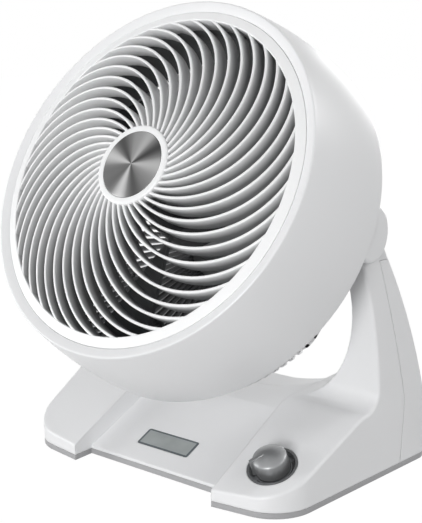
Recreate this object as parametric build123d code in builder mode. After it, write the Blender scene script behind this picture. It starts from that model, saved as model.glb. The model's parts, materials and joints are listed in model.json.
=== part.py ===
"""Air circulator fan: tilting round head with a spiral grille, on a wedge base with two arms.

Frame: millimetres, +Z up, the fan faces -Y, +X is to the right of somebody who faces it.
The origin is on the floor, in the middle of the fan's outline at its resting tilt.
"""
import os
from math import acos, cos, radians, sin, sqrt, tan

from build123d import *

os.makedirs("parts", exist_ok=True)

# ---------------------------------------------------------------- driving dimensions (mm, deg)
# clearances
fit_gap = 0.2            # between pieces that seat in each other
run_gap = 0.05           # radial, shaft in a bearing or bore
turn_gap = 0.3           # between faces that move past each other

# tilt axis
tilt_angle = 28.6        # the head looks up by this much at rest
head_sink = 11.8         # the skirt's circle reaches this far below the pads' level top
pivot_offset = 16.3      # tilt axis behind the origin

# housing
rim_radius = 140.0
rim_depth = 85.5         # tilt axis to the plane of the front rim
skirt_flare = 12.0       # the skirt is larger than the rim by this much
skirt_depth = 3.5        # tilt axis to the rear edge of the skirt
housing_wall = 2.6
housing_swell = 2.6      # how far the flank bows out from a straight cone
lip_width = 7.4
lip_drop = 2.9           # the lip falls inwards by this much
lip_thickness = 2.2
rim_round = 1.2

# front grille
dome_rise = 13.4         # dome's crown in front of the rim plane
dome_radius = 552.0
vane_count = 40
vane_thickness = 2.1
vane_depth = 15.0
vane_set_back = 0.3      # vanes lie this far behind the ring's face
vane_arc_radius = 71.6
vane_arc_inset = 60.8    # arc's centre from the ring's inner wall
ring_band = 8.0          # ring's inner wall to the housing's lip
ring_wall = 2.8
ring_flange_width = 4.4  # how far the ring reaches under the lip
ring_flange_thickness = 2.4
hub_radius = 31.0
hub_wall = 3.0
medallion_radius = 25.8
medallion_thickness = 1.5
medallion_crown = 0.9

# inner duct
duct_wall = 2.4
duct_collar_length = 11.0
baffle_depth = 23.0      # tilt axis to the back of the baffle
baffle_thickness = 2.0

# rear grille
rear_depth = 46.0        # tilt axis back to the motor seat
rear_wall = 2.4
rear_corner_width = 19.2  # the bowl turns inwards over this width, down to rear_corner_depth
rear_corner_depth = 24.0
seat_radius = 38.0
cheek_clearance = 9.5    # flat cheeks keep clear of the arms
rear_flange_thickness = 2.5
slot_stop = 1.0          # slots end this far behind the tilt axis
outer_slot_count = 60
outer_slot_start = 99.0
inner_slot_count = 40
inner_slot_start = 46.0
slot_band = 4.0
slot_share = 0.70

# housing screws
shell_screw_count = 4
shell_screw_inset = 7.4  # from the skirt's edge
shell_screw_radius = 1.6
shell_screw_length = 12.0
screw_head_radius = 3.2
screw_head_height = 2.0
boss_radius = 5.2

# motor
can_radius = 31.0
can_length = 49.0
can_wall = 1.8
can_floor = 3.0
cap_thickness = 2.6
shaft_radius = 3.0
bearing_radius = 9.5
bearing_length = 6.0
bearing_seat_wall = 2.0
stator_bore = 15.2
stator_length = 20.0
stator_tooth_count = 9
stator_slot_width = 5.6
stator_slot_depth = 9.0
coil_overhang = 3.0
magnet_radius = 14.6
magnet_length = 24.0
motor_screw_circle = 22.0
motor_screw_radius = 1.5
motor_screw_length = 5.0

# propeller
prop_tip_gap = 3.6
prop_hub_radius = 34.0
prop_hub_length = 28.0
prop_hub_wall = 2.4
prop_hub_taper = 3.0
prop_boss_radius = 7.0
prop_gap = 5.0
blade_count = 3
blade_thickness = 2.4
blade_root_chord = 38.0
blade_tip_chord = 96.0
blade_root_pitch = 48.0
blade_tip_pitch = 24.0
nut_radius = 8.0
nut_height = 9.0

# pivots
drum_radius = 21.0
drum_set_in = 1.0        # the drum's face lies inside the skirt's edge
drum_round = 3.5
eye_set_in = 23.5        # inner face of the arm's eye behind the drum's face
eye_thickness = 11.0
eye_radius = 15.0
washer_thickness = 1.0
washer_radius = 10.0
bolt_radius = 4.0
bolt_head_radius = 6.0
bolt_head_height = 4.0
bolt_grip = 7.3          # length held in the drum

# base
base_rear_reach = 11.5   # the base is wider than the arms' eyes at the rear
base_front_reach = -10.0  # and narrower in front
base_front = -67.2       # front edge of a pad, inner corner
pad_sweep = 8.0          # outer corner lies further back by this much
base_rear = 125.6
front_corner_radius = 36.0
rear_corner_radius = 16.0
pad_width = 58.8
pad_front_height = 14.1
pad_slope = 25.0
pad_level = 58.5
tray_front = -48.6
tray_front_height = 8.0
tray_slope = 22.0
tray_level = 43.0
saddle_crest = 79.0      # behind the tray a trough rises at its sides, up to this line
saddle_back_drop = 1.5   # middle and sides of the trough at the rear wall, below the crest
saddle_back_side_drop = 6.0
rear_lean = 17.1         # rear wall leans forward by this much, up to the level top
shell_wall = 2.6
edge_round = 2.5         # pads' top edges and the arms' outer edges
base_blend = 40.0
plate_thickness = 4.4
foot_stand = 1.0         # plate's underside above the floor

# arms
side_draft = 2.2         # the base's walls and the arms widen upwards
arm_sweep_height = 100.0  # the arm's inner edge is a quarter ellipse of this height
arm_front_top = -2.2     # front edge, measured from the tilt axis, at drum level
arm_front_drop = 22.7
arm_front_mid = 15.4
arm_front_mid_drop = 65.7
arm_front_foot = 28.7
arm_foot_toe = 14.0      # the front edge's curve runs out this far above the level top
arm_rear_top = 27.9
arm_rear_top_drop = 19.7
arm_rear_mid = 61.0
arm_rear_mid_drop = 72.0
seam_top = 17.0
seam_top_drop = 22.0
seam_mid = 38.4
seam_mid_drop = 70.0
seam_foot = 64.0
seam_gap = 0.3

# knob and its well
knob_inset = 28.1        # from the base's front corner
knob_y = -34.2
well_radius = 19.3
well_depth = 5.0
bezel_wall = 1.8
bezel_floor = 1.6
bezel_flange = 2.6
knob_radius = 12.9
knob_height = 14.0
knob_shoulder = 9.4
knob_round = 2.0
knob_sink = 2.6
pointer_angle = -138.0   # from +X on the pad, the knob's off position
pointer_start = 3.0
pointer_reach = 15.2
pointer_width = 3.0
pointer_crest = 14.3
pointer_nose = 10.0
pot_size = 17.0
pot_height = 7.0
pot_bush_radius = 4.6
pot_shaft_radius = 3.0
pot_shaft_reach = 8.0

# label plate
label_x = -7.6
label_y = -24.4
label_length = 52.0
label_width = 18.0
label_thickness = 0.8
label_proud = 0.15

# electrics in the base
board_length = 70.0
board_width = 42.0
board_thickness = 1.6
board_x = 20.0
board_y = 30.0
board_stand = 6.0
jack_x = -40.0
jack_height = 18.0
jack_radius = 5.5
jack_length = 14.0
jack_bore = 2.9
lead_radius = 1.6
lead_clearance = 20.0    # from the base's side

board_screw_radius = 1.2
board_screw_length = 6.0

# feet and base screws
foot_radius = 8.0
foot_thickness = 3.0
foot_places = ((-96, -38), (96, -38), (-122, 92), (122, 92))
base_screw_radius = 1.6
base_screw_length = 12.0
post_radius = 4.4
post_inset = 14.3        # front posts from the pads' inner walls
left_post_y = -46.0
right_post_y = -54.0     # clear of the knob's well
middle_post = (112.0, 24.0)
rear_post_places = ((-96, 106), (96, 106))

# ---------------------------------------------------------------- derived values and planes
tilt = radians(tilt_angle)
skirt_radius = rim_radius + skirt_flare
lip_radius = rim_radius - lip_width
ring_inner_radius = lip_radius - ring_band
ring_flange = lip_radius + ring_flange_width
vane_arc_offset = ring_inner_radius - vane_arc_inset
prop_radius = ring_inner_radius - prop_tip_gap
shell_screw_circle = skirt_radius - shell_screw_inset
drum_face = skirt_radius - drum_set_in
eye_inner = drum_face - eye_set_in
eye_outer = eye_inner + eye_thickness
pocket_half_width = eye_inner - cheek_clearance
base_half_width = eye_outer + base_rear_reach
base_front_half_width = eye_outer + base_front_reach
pad_inner = base_front_half_width - pad_width
knob_x = base_front_half_width - knob_inset
pivot_height = pad_level + skirt_radius - head_sink
front_post_places = (
    (-pad_inner - post_inset, left_post_y),
    (pad_inner + post_inset, right_post_y),
    (-middle_post[0], middle_post[1]),
    middle_post,
)
pivot = Vector(0, pivot_offset, pivot_height)
forward = Vector(0, -cos(tilt), sin(tilt))
face_plane = Plane(origin=pivot, x_dir=(1, 0, 0), z_dir=forward)
section_plane = Plane(origin=pivot, x_dir=(1, 0, 0), z_dir=Vector(1, 0, 0).cross(forward))
head_axis = Axis(pivot, forward)
side_plane = Plane.YZ                       # local x is +Y, local y is +Z
front_plane = Plane(origin=(0, 0, 0), x_dir=(1, 0, 0), z_dir=(0, -1, 0))

shell_bottom = foot_stand + plate_thickness
far = 400.0                                 # longer than anything it cuts

lip_depth = rim_depth - lip_drop
crown_depth = rim_depth + dome_rise
hub_back = crown_depth - vane_depth - hub_radius**2 / (2 * dome_radius)
motor_seat = -rear_depth + rear_wall
can_front = motor_seat + can_length
shaft_start = motor_seat + can_floor
hub_start = can_front + cap_thickness + prop_gap
shaft_end = hub_start + prop_hub_length + nut_height / 2
drum_back = eye_outer + turn_gap + washer_thickness


def dome_depth(radius):
    """Distance from the tilt axis to the front of the grille's dome at this radius."""
    return crown_depth - (dome_radius - sqrt(dome_radius**2 - radius**2))


def bore_radius(depth):
    """Radius of the housing's inner wall at this distance from the tilt axis."""
    share = (depth - skirt_depth) / (rim_depth - lip_thickness - skirt_depth)
    straight = skirt_radius - housing_wall - share * (skirt_radius - rim_radius)
    return straight + 4 * housing_swell * share * (1 - share)


def vane_point(radius, offset):
    """Point of a vane's arc, moved sideways by offset, at this radius from the head's axis."""
    arc = vane_arc_radius + offset
    turn = acos((radius**2 + vane_arc_offset**2 - arc**2) / (2 * radius * vane_arc_offset))
    angle = radians(88.2) - turn
    return (radius * cos(angle), radius * sin(angle))


def save(part, name):
    """Label a finished piece and write its file."""
    part.label = name
    export_step(part, f"parts/{name}.step")


# ---------------------------------------------------------------- front grille
# The vanes are arcs in the plane of the grille, drawn out along the head's axis and cut to the
# space between two domes, so that their front edges lie on the dome and their sides stay upright.
vane_reach = ring_inner_radius + ring_wall / 2
with BuildPart() as dome_slab:
    with BuildSketch(section_plane):
        with BuildLine():
            front_arc, back_arc = (
                ThreePointArc(
                    (0, dome_depth(0) - drop),
                    (vane_reach / 2, dome_depth(vane_reach / 2) - drop),
                    (vane_reach, dome_depth(vane_reach) - drop),
                )
                for drop in (vane_set_back, vane_depth)
            )
            Line(front_arc @ 1, back_arc @ 1)
            Line(front_arc @ 0, back_arc @ 0)
        make_face()
    revolve(axis=head_axis)

with BuildSketch(face_plane.offset(rim_depth - 2 * vane_depth)) as vane_strips:
    with BuildSketch(mode=Mode.PRIVATE) as vane_strip:
        with BuildLine():
            inner = hub_radius - hub_wall / 2
            middle = (hub_radius + ring_inner_radius) / 2
            outer = vane_reach + vane_thickness
            left, right = (
                ThreePointArc(
                    vane_point(inner, side), vane_point(middle, side), vane_point(outer, side)
                )
                for side in (-vane_thickness / 2, vane_thickness / 2)
            )
            Line(left @ 0, right @ 0)
            Line(left @ 1, right @ 1)
        make_face()
    with PolarLocations(0, vane_count):
        add(vane_strip.sketch)

ring_back = dome_depth(vane_reach) - vane_depth - vane_set_back
flange_front = lip_depth - lip_thickness - fit_gap
ring_outer_radius = lip_radius - fit_gap

with BuildPart() as front_grille:
    extrude(vane_strips.sketch, amount=4 * vane_depth)
    add(dome_slab.part, mode=Mode.INTERSECT)
    with BuildSketch(section_plane):
        with BuildLine():
            ring_face = ThreePointArc(
                (ring_inner_radius, dome_depth(ring_inner_radius)),
                (
                    (ring_inner_radius + ring_outer_radius) / 2,
                    dome_depth((ring_inner_radius + ring_outer_radius) / 2),
                ),
                (ring_outer_radius, dome_depth(ring_outer_radius)),
            )
            Polyline(
                ring_face @ 1,
                (ring_outer_radius, flange_front),
                (ring_flange, flange_front),
                (ring_flange, flange_front - ring_flange_thickness),
                (ring_inner_radius + ring_wall, flange_front - ring_flange_thickness),
                (ring_inner_radius + ring_wall, ring_back),
                (ring_inner_radius, ring_back),
                ring_face @ 0,
            )
        make_face()
    revolve(axis=head_axis)
    with BuildSketch(face_plane.offset(hub_back)):
        Circle(hub_radius)
    extrude(amount=crown_depth - hub_back)
    with BuildSketch(face_plane.offset(crown_depth)):
        Circle(medallion_radius + fit_gap)
    extrude(amount=-medallion_thickness, mode=Mode.SUBTRACT)
    with BuildSketch(face_plane.offset(hub_back)):
        Circle(hub_radius - hub_wall)
    extrude(amount=crown_depth - hub_back - medallion_thickness - hub_wall, mode=Mode.SUBTRACT)
save(front_grille.part, "front_grille")

with BuildPart() as hub_medallion:
    with BuildSketch(section_plane):
        with BuildLine():
            crown = ThreePointArc(
                (-medallion_radius, crown_depth),
                (0, crown_depth + medallion_crown),
                (medallion_radius, crown_depth),
            )
            Polyline(
                (-medallion_radius, crown_depth),
                (-medallion_radius, crown_depth - medallion_thickness),
                (medallion_radius, crown_depth - medallion_thickness),
                (medallion_radius, crown_depth),
            )
        make_face()
        with Locations((-medallion_radius, 0)):
            Rectangle(2 * medallion_radius, far, mode=Mode.SUBTRACT)
    revolve(axis=head_axis)
save(hub_medallion.part, "hub_medallion")

# ---------------------------------------------------------------- duct housing with pivot drums
with BuildPart() as duct_housing:
    with BuildSketch(section_plane):
        with BuildLine():
            flank = ThreePointArc(
                (rim_radius, rim_depth),
                ((rim_radius + skirt_radius) / 2 + housing_swell, (rim_depth + skirt_depth) / 2),
                (skirt_radius, skirt_depth),
            )
            inner_flank = ThreePointArc(
                (skirt_radius - housing_wall, skirt_depth),
                (
                    (rim_radius + skirt_radius) / 2 + housing_swell - housing_wall,
                    (rim_depth + skirt_depth) / 2,
                ),
                (rim_radius - housing_wall, rim_depth - lip_thickness),
            )
            Line(flank @ 1, inner_flank @ 0)
            Polyline(
                inner_flank @ 1,
                (lip_radius, lip_depth - lip_thickness),
                (lip_radius, lip_depth),
                flank @ 0,
            )
        make_face()
    revolve(axis=head_axis)
    fillet(
        duct_housing.edges().filter_by(GeomType.CIRCLE).filter_by(
            lambda edge: abs(edge.radius - rim_radius) < 0.01
        ),
        rim_round,
    )
    # screw bosses, tied to the wall
    with BuildSketch(face_plane.offset(skirt_depth + rear_flange_thickness + fit_gap)):
        with PolarLocations(shell_screw_circle, shell_screw_count, start_angle=45):
            Circle(boss_radius)
    extrude(amount=baffle_depth - skirt_depth - rear_flange_thickness - 2 * fit_gap)
    with BuildSketch(face_plane.offset(skirt_depth + rear_flange_thickness)):
        with PolarLocations(shell_screw_circle, shell_screw_count, start_angle=45):
            Circle(shell_screw_radius + run_gap)
    extrude(amount=shell_screw_length, mode=Mode.SUBTRACT)
    # drums that hide the arms' eyes
    for side in (-1, 1):
        drum_plane = Plane(origin=(0, pivot_offset, pivot_height), x_dir=(0, 1, 0), z_dir=(side, 0, 0))
        with BuildPart(drum_plane.offset(drum_back), mode=Mode.PRIVATE) as drum:
            Cylinder(drum_radius, drum_face - drum_back, align=(Align.CENTER, Align.CENTER, Align.MIN))
            fillet(drum.faces().sort_by(Axis.X)[-1 if side > 0 else 0].edges(), drum_round)
            Cylinder(
                bolt_radius + run_gap,
                bolt_grip,
                align=(Align.CENTER, Align.CENTER, Align.MIN),
                mode=Mode.SUBTRACT,
            )
        add(drum.part)
save(duct_housing.part, "duct_housing")

# ---------------------------------------------------------------- inner duct
collar_radius = ring_inner_radius + ring_wall + fit_gap
baffle_radius = bore_radius(baffle_depth + baffle_thickness) - fit_gap
with BuildPart() as inner_duct:
    with BuildSketch(section_plane):
        with BuildLine():
            Polyline(
                (ring_inner_radius, ring_back - fit_gap),
                (ring_inner_radius, baffle_depth),
                (baffle_radius, baffle_depth),
                (baffle_radius, baffle_depth + baffle_thickness),
                (ring_inner_radius + duct_wall, baffle_depth + baffle_thickness),
                (ring_inner_radius + duct_wall, ring_back - duct_collar_length),
                (collar_radius + duct_wall, ring_back - duct_collar_length + duct_wall),
                (collar_radius + duct_wall, flange_front - ring_flange_thickness - fit_gap),
                (collar_radius, flange_front - ring_flange_thickness - fit_gap),
                (collar_radius, ring_back - fit_gap),
                close=True,
            )
        make_face()
    revolve(axis=head_axis)
save(inner_duct.part, "inner_duct")

# ---------------------------------------------------------------- rear grille
grille_edge = skirt_radius - housing_wall - fit_gap
flange_back = skirt_depth
flange_face = skirt_depth + rear_flange_thickness


def rear_bowl(inset, front):
    """Solid of the rear grille's bowl, flattened at both sides, smaller by inset."""
    with BuildPart() as bowl:
        with BuildSketch(section_plane):
            with BuildLine():
                corner = TangentArc(
                    (grille_edge - inset, flange_back),
                    (grille_edge - rear_corner_width - inset / 3, inset - rear_corner_depth),
                    tangent=(0, -1),
                )
                back = TangentArc(corner @ 1, (seat_radius, inset - rear_depth), tangent=corner % 1)
                Polyline(
                    back @ 1,
                    (0, inset - rear_depth),
                    (0, front),
                    (grille_edge - inset, front),
                    corner @ 0,
                )
            make_face()
        revolve(axis=head_axis)
        with BuildSketch(face_plane.offset(-rear_depth)):
            Rectangle(2 * (pocket_half_width - inset), far)
        extrude(amount=far, mode=Mode.INTERSECT)
    return bowl.part


def slot_outline(start, end, count):
    """Corners of one slot that widens outwards, centred on the local x axis."""
    near = radians(180 / count) * start * slot_share
    wide = radians(180 / count) * end * slot_share
    return [(start, -near), (end, -wide), (end, wide), (start, near)]


with BuildPart() as rear_grille:
    add(rear_bowl(0, flange_face))
    add(rear_bowl(rear_wall, flange_face), mode=Mode.SUBTRACT)
    # the outer row of slots runs round the bowl's corner and opens to the side as well
    for start, end, count in (
        (inner_slot_start, outer_slot_start - slot_band, inner_slot_count),
        (outer_slot_start, skirt_radius, outer_slot_count),
    ):
        with BuildSketch(face_plane.offset(-rear_depth)):
            with BuildSketch(mode=Mode.PRIVATE) as slot:
                with BuildLine():
                    Polyline(*slot_outline(start, end, count), close=True)
                make_face()
            with PolarLocations(0, count):
                add(slot.sketch)
            Rectangle(2 * (pocket_half_width - 2 * rear_wall), far, mode=Mode.INTERSECT)
        extrude(amount=rear_depth - slot_stop, mode=Mode.SUBTRACT)
    with BuildSketch(face_plane.offset(flange_back)):
        with PolarLocations(shell_screw_circle, shell_screw_count, start_angle=45):
            Circle(boss_radius + 1.5)
        Circle(grille_edge, mode=Mode.INTERSECT)
    extrude(amount=rear_flange_thickness)
    with BuildSketch(face_plane.offset(-rear_depth)):
        with PolarLocations(shell_screw_circle, shell_screw_count, start_angle=45):
            Circle(screw_head_radius + 2 * fit_gap)
    extrude(amount=rear_depth + flange_back, mode=Mode.SUBTRACT)
    with BuildSketch(face_plane.offset(flange_back)):
        with PolarLocations(shell_screw_circle, shell_screw_count, start_angle=45):
            Circle(shell_screw_radius + run_gap)
    extrude(amount=rear_flange_thickness, mode=Mode.SUBTRACT)
    with BuildSketch(face_plane.offset(-rear_depth)):
        with PolarLocations(motor_screw_circle, 4, start_angle=45):
            Circle(motor_screw_radius + run_gap)
    extrude(amount=rear_wall, mode=Mode.SUBTRACT)
save(rear_grille.part, "rear_grille")


def screw_group(plane, circle, count, radius, length):
    """Pan-head screws on a circle, pointing along the plane's normal from its surface."""
    with BuildPart() as screws:
        with BuildSketch(plane):
            with PolarLocations(circle, count, start_angle=45):
                Circle(radius * 2)
        extrude(amount=-screw_head_height)
        with BuildSketch(plane):
            with PolarLocations(circle, count, start_angle=45):
                Circle(radius)
        extrude(amount=length)
    return screws.part


save(
    screw_group(
        face_plane.offset(flange_back),
        shell_screw_circle,
        shell_screw_count,
        shell_screw_radius,
        shell_screw_length,
    ),
    "housing_screws",
)
save(
    screw_group(
        face_plane.offset(-rear_depth),
        motor_screw_circle,
        4,
        motor_screw_radius,
        motor_screw_length,
    ),
    "motor_screws",
)

# ---------------------------------------------------------------- motor
bearing_back = shaft_start
front_bearing_back = can_front - bearing_length
with BuildPart() as motor_can:
    with BuildSketch(section_plane):
        with BuildLine():
            Polyline(
                (0, motor_seat),
                (can_radius, motor_seat),
                (can_radius, can_front),
                (can_radius - can_wall, can_front),
                (can_radius - can_wall, motor_seat + can_floor),
                (bearing_radius + bearing_seat_wall, motor_seat + can_floor),
                (bearing_radius + bearing_seat_wall, motor_seat + can_floor + bearing_length),
                (bearing_radius + run_gap, motor_seat + can_floor + bearing_length),
                (bearing_radius + run_gap, motor_seat + can_floor),
                (0, motor_seat + can_floor),
                close=True,
            )
        make_face()
    revolve(axis=head_axis)
    with BuildSketch(face_plane.offset(motor_seat)):
        with PolarLocations(motor_screw_circle, 4, start_angle=45):
            Circle(motor_screw_radius + run_gap)
    extrude(amount=can_floor, mode=Mode.SUBTRACT)
save(motor_can.part, "motor_can")

with BuildPart() as motor_end_cap:
    with BuildSketch(section_plane):
        with BuildLine():
            Polyline(
                (can_radius, can_front),
                (can_radius, can_front + cap_thickness),
                (shaft_radius + 1.5, can_front + cap_thickness),
                (shaft_radius + 1.5, can_front),
                (bearing_radius + run_gap, can_front),
                (bearing_radius + run_gap, can_front - bearing_length),
                (bearing_radius + bearing_seat_wall, can_front - bearing_length),
                (bearing_radius + bearing_seat_wall, can_front),
                close=True,
            )
        make_face()
    revolve(axis=head_axis)
save(motor_end_cap.part, "motor_end_cap")

for name, back in (("rear_bearing", bearing_back), ("front_bearing", front_bearing_back)):
    with BuildPart(face_plane.offset(back)) as bearing:
        Cylinder(bearing_radius, bearing_length, align=(Align.CENTER, Align.CENTER, Align.MIN))
        Cylinder(
            shaft_radius + run_gap,
            bearing_length,
            align=(Align.CENTER, Align.CENTER, Align.MIN),
            mode=Mode.SUBTRACT,
        )
    save(bearing.part, name)

stator_back = (shaft_start + can_front) / 2 - stator_length / 2
stator_outer = can_radius - can_wall - fit_gap
slot_middle = stator_bore + 2 + stator_slot_depth / 2
with BuildPart() as stator_core:
    with BuildSketch(face_plane.offset(stator_back)):
        Circle(stator_outer)
        Circle(stator_bore, mode=Mode.SUBTRACT)
        with PolarLocations(slot_middle, stator_tooth_count):
            Rectangle(stator_slot_depth, stator_slot_width, mode=Mode.SUBTRACT)
    extrude(amount=stator_length)
save(stator_core.part, "stator_core")

with BuildPart() as stator_coils:
    with BuildSketch(face_plane.offset(stator_back - coil_overhang)):
        with PolarLocations(slot_middle, stator_tooth_count):
            Rectangle(stator_slot_depth - 2 * fit_gap, stator_slot_width - 2 * fit_gap)
    extrude(amount=stator_length + 2 * coil_overhang)
save(stator_coils.part, "stator_coils")

with BuildPart(face_plane.offset(shaft_start)) as motor_shaft:
    Cylinder(shaft_radius, shaft_end - shaft_start, align=(Align.CENTER, Align.CENTER, Align.MIN))
save(motor_shaft.part, "motor_shaft")

with BuildPart(face_plane.offset((shaft_start + can_front - magnet_length) / 2)) as rotor_magnet:
    Cylinder(magnet_radius, magnet_length, align=(Align.CENTER, Align.CENTER, Align.MIN))
    Cylinder(
        shaft_radius + run_gap,
        magnet_length,
        align=(Align.CENTER, Align.CENTER, Align.MIN),
        mode=Mode.SUBTRACT,
    )
save(rotor_magnet.part, "rotor_magnet")

# ---------------------------------------------------------------- propeller
# Each blade is lofted between an inner and an outer section that stand across the blade, then the
# set is trimmed to the swept circle.
hub_middle = hub_start + prop_hub_length / 2


def blade_plane(turn, radius):
    """Plane across a blade: local x runs round the hub, local y along the head's axis."""
    out = face_plane.x_dir * cos(turn) + face_plane.y_dir * sin(turn)
    middle = pivot + forward * hub_middle + out * radius
    return Plane(origin=middle, x_dir=out.cross(forward), z_dir=out)


with BuildPart() as propeller:
    for index in range(blade_count):
        turn = radians(360 / blade_count * index + 20)
        with BuildPart(mode=Mode.PRIVATE) as blade:
            for radius, chord, pitch in (
                (prop_hub_radius - 3, blade_root_chord, blade_root_pitch),
                (prop_radius + 4, blade_tip_chord, blade_tip_pitch),
            ):
                with BuildSketch(blade_plane(turn, radius)):
                    Rectangle(chord, blade_thickness, rotation=pitch)
            loft()
        add(blade.part)
    with BuildPart(face_plane.offset(hub_start - far / 2), mode=Mode.PRIVATE) as sweep_limit:
        Cylinder(prop_radius, far, align=(Align.CENTER, Align.CENTER, Align.MIN))
    add(sweep_limit.part, mode=Mode.INTERSECT)
    with BuildSketch(section_plane):
        with BuildLine():
            Polyline(
                (0, hub_start + prop_hub_length),
                (prop_hub_radius - prop_hub_taper, hub_start + prop_hub_length),
                (prop_hub_radius, hub_start),
                (0, hub_start),
                close=True,
            )
        make_face()
    revolve(axis=head_axis)
    with BuildSketch(section_plane):
        with BuildLine():
            Polyline(
                (prop_boss_radius, hub_start + prop_hub_length - prop_hub_wall),
                (
                    prop_hub_radius - prop_hub_taper - prop_hub_wall,
                    hub_start + prop_hub_length - prop_hub_wall,
                ),
                (prop_hub_radius - prop_hub_wall, hub_start),
                (prop_boss_radius, hub_start),
                close=True,
            )
        make_face()
    revolve(axis=head_axis, mode=Mode.SUBTRACT)
    with BuildSketch(face_plane.offset(hub_start)):
        Circle(shaft_radius + run_gap)
    extrude(amount=prop_hub_length, mode=Mode.SUBTRACT)
save(propeller.part, "propeller")

with BuildPart(face_plane.offset(hub_start + prop_hub_length)) as propeller_nut:
    Cylinder(nut_radius, nut_height, align=(Align.CENTER, Align.CENTER, Align.MIN))
    chamfer(propeller_nut.edges().filter_by(GeomType.CIRCLE).sort_by(head_axis)[-1], 2)
    Cylinder(
        shaft_radius + run_gap,
        nut_height / 2,
        align=(Align.CENTER, Align.CENTER, Align.MIN),
        mode=Mode.SUBTRACT,
    )
save(propeller_nut.part, "propeller_nut")

# ---------------------------------------------------------------- pivot bolts and washers
for side, hand in ((-1, "left"), (1, "right")):
    eye_plane = Plane(origin=(0, pivot_offset, pivot_height), x_dir=(0, 1, 0), z_dir=(side, 0, 0))
    inner_washer_back = eye_inner - turn_gap - washer_thickness
    with BuildPart(eye_plane.offset(inner_washer_back)) as pivot_bolt:
        Cylinder(
            bolt_radius,
            drum_back + bolt_grip - inner_washer_back,
            align=(Align.CENTER, Align.CENTER, Align.MIN),
        )
        Cylinder(bolt_head_radius, bolt_head_height, align=(Align.CENTER, Align.CENTER, Align.MAX))
    save(pivot_bolt.part, f"pivot_bolt_{hand}")
    with BuildPart() as pivot_washers:
        for back in (inner_washer_back, eye_outer + turn_gap):
            with BuildSketch(eye_plane.offset(back)):
                Circle(washer_radius)
                Circle(bolt_radius + run_gap, mode=Mode.SUBTRACT)
            extrude(amount=washer_thickness)
    save(pivot_washers.part, f"pivot_washers_{hand}")

# ---------------------------------------------------------------- base: outer form and cavity
pad_rise = tan(radians(pad_slope))
tray_rise = tan(radians(tray_slope))
pad_break = base_front + (pad_level - pad_front_height) / pad_rise
tray_break = tray_front + (tray_level - tray_front_height) / tray_rise
sweep_centre = pad_level + arm_sweep_height


def base_outline():
    """Plan of the base as a sketch: two pads in front, straight rear, the tray set back."""
    with BuildSketch() as outline:
        with BuildLine():
            Polyline(
                (0, base_front),
                (pad_inner, base_front),
                (base_front_half_width, base_front + pad_sweep),
                (base_half_width, base_rear),
                (0, base_rear),
                close=True,
            )
        make_face()
        fillet(outline.vertices().group_by(Axis.Y)[1], front_corner_radius)
        fillet(outline.vertices().group_by(Axis.X)[-1].sort_by(Axis.Y)[-1], rear_corner_radius)
        mirror(about=Plane.YZ)
    return outline.sketch


def walled_block(inset):
    """Tall block on the base's plan whose walls lean outwards, smaller all round by inset."""
    with BuildPart() as block:
        with BuildSketch(Plane.XY.offset(shell_bottom)):
            add(base_outline())
            if inset:
                offset(amount=-inset)
        extrude(amount=arm_stop, taper=-side_draft)
    return block.part


def base_form(inset, arm_top):
    """The base's solid, smaller all round by inset, with arms up to arm_top."""
    with BuildPart() as form:
        add(walled_block(inset))
        with BuildSketch(side_plane.offset(-far / 2)) as profile:
            with BuildLine():
                Polyline(
                    (base_front - far, -far),
                    (base_front - far, pad_front_height - far * pad_rise),
                    (pad_break, pad_level),
                    (base_rear - rear_lean, pad_level),
                    (base_rear + rear_lean * far / pad_level, -far),
                    close=True,
                )
            make_face()
            fillet(profile.vertices().sort_by(Axis.X)[2], base_blend)
            if inset:
                offset(amount=-inset)
        extrude(amount=far, mode=Mode.INTERSECT)
        if not inset:
            rim = form.edges().filter_by(lambda edge: edge.bounding_box().min.Z > pad_front_height - 1)
            rim = rim.filter_by(
                lambda edge: abs(edge.center().X) > pad_inner or edge.center().Y < tray_front
            )
            fillet(rim, edge_round)
        add(tray_space(inset), mode=Mode.SUBTRACT)
        add(yoke_form(inset, arm_top))
        if not inset:
            backs = form.edges().filter_by(GeomType.ELLIPSE)
            backs = backs.filter_by(lambda edge: abs(edge.center().X) > eye_outer)
            fillet(backs.filter_by(lambda edge: edge.length > arm_sweep_height), edge_round)
    return form.part


def tray_space(inset):
    """Space over the tray and over the trough behind it, larger all round by inset."""
    half = pad_inner + inset
    with BuildPart() as space:
        with BuildSketch(side_plane.offset(-half)):
            with BuildLine():
                Polyline(
                    (base_front - far, -far),
                    (tray_front, -far),
                    (tray_front, tray_front_height),
                    (tray_break, tray_level),
                    (base_rear + far, tray_level),
                    (base_rear + far, far),
                    (base_front - far, far),
                    close=True,
                )
            make_face()
            if inset:
                offset(amount=inset, kind=Kind.INTERSECTION)
        extrude(amount=2 * half)
        with BuildPart(mode=Mode.PRIVATE) as trough:
            for y, middle, side in (
                (tray_break, tray_level, tray_level + fit_gap),
                (saddle_crest, tray_level, pad_level),
                (base_rear, tray_level - saddle_back_drop, pad_level - saddle_back_side_drop),
            ):
                with BuildSketch(front_plane.offset(-y)):
                    with BuildLine():
                        floor = ThreePointArc(
                            (-half, side - inset), (0, middle - inset), (half, side - inset)
                        )
                        Polyline(floor @ 1, (half, 0), (-half, 0), floor @ 0)
                    make_face()
            loft(ruled=True)
        add(trough.part, mode=Mode.SUBTRACT)
    return space.part


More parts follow.
